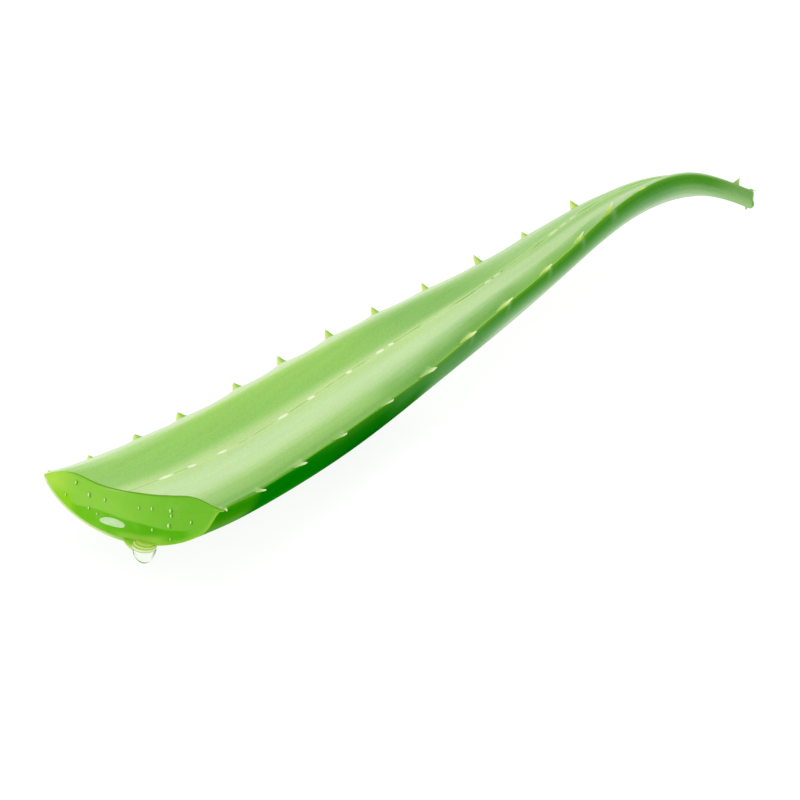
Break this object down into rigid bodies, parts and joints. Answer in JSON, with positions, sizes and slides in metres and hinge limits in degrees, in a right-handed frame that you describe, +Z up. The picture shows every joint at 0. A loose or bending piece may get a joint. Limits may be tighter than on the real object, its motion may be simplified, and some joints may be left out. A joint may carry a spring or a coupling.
{
  "type": "aloe vera leaf",
  "caption": "Fleshy aloe vera leaf with toothed margins, cut off at its base and lying on its back, its tip curling aside and a drop of gel hanging from the cut.",
  "frame": {"origin": "under the middle of the bounding box, on the surface that the leaf rests on", "axes": "+X from the cut face to the tip, +Z up out of the channelled side, the tip curls towards -Y"},
  "size_m": [0.2642, 0.0728, 0.031],
  "materials": {
    "leaf_skin": "satin waxy green skin",
    "clear_gel": "clear wet gel"
  },
  "bodies": {
    "root": {"leaf": "leaf_skin", "gel_drop": "clear_gel"}
  },
  "joints": []
}
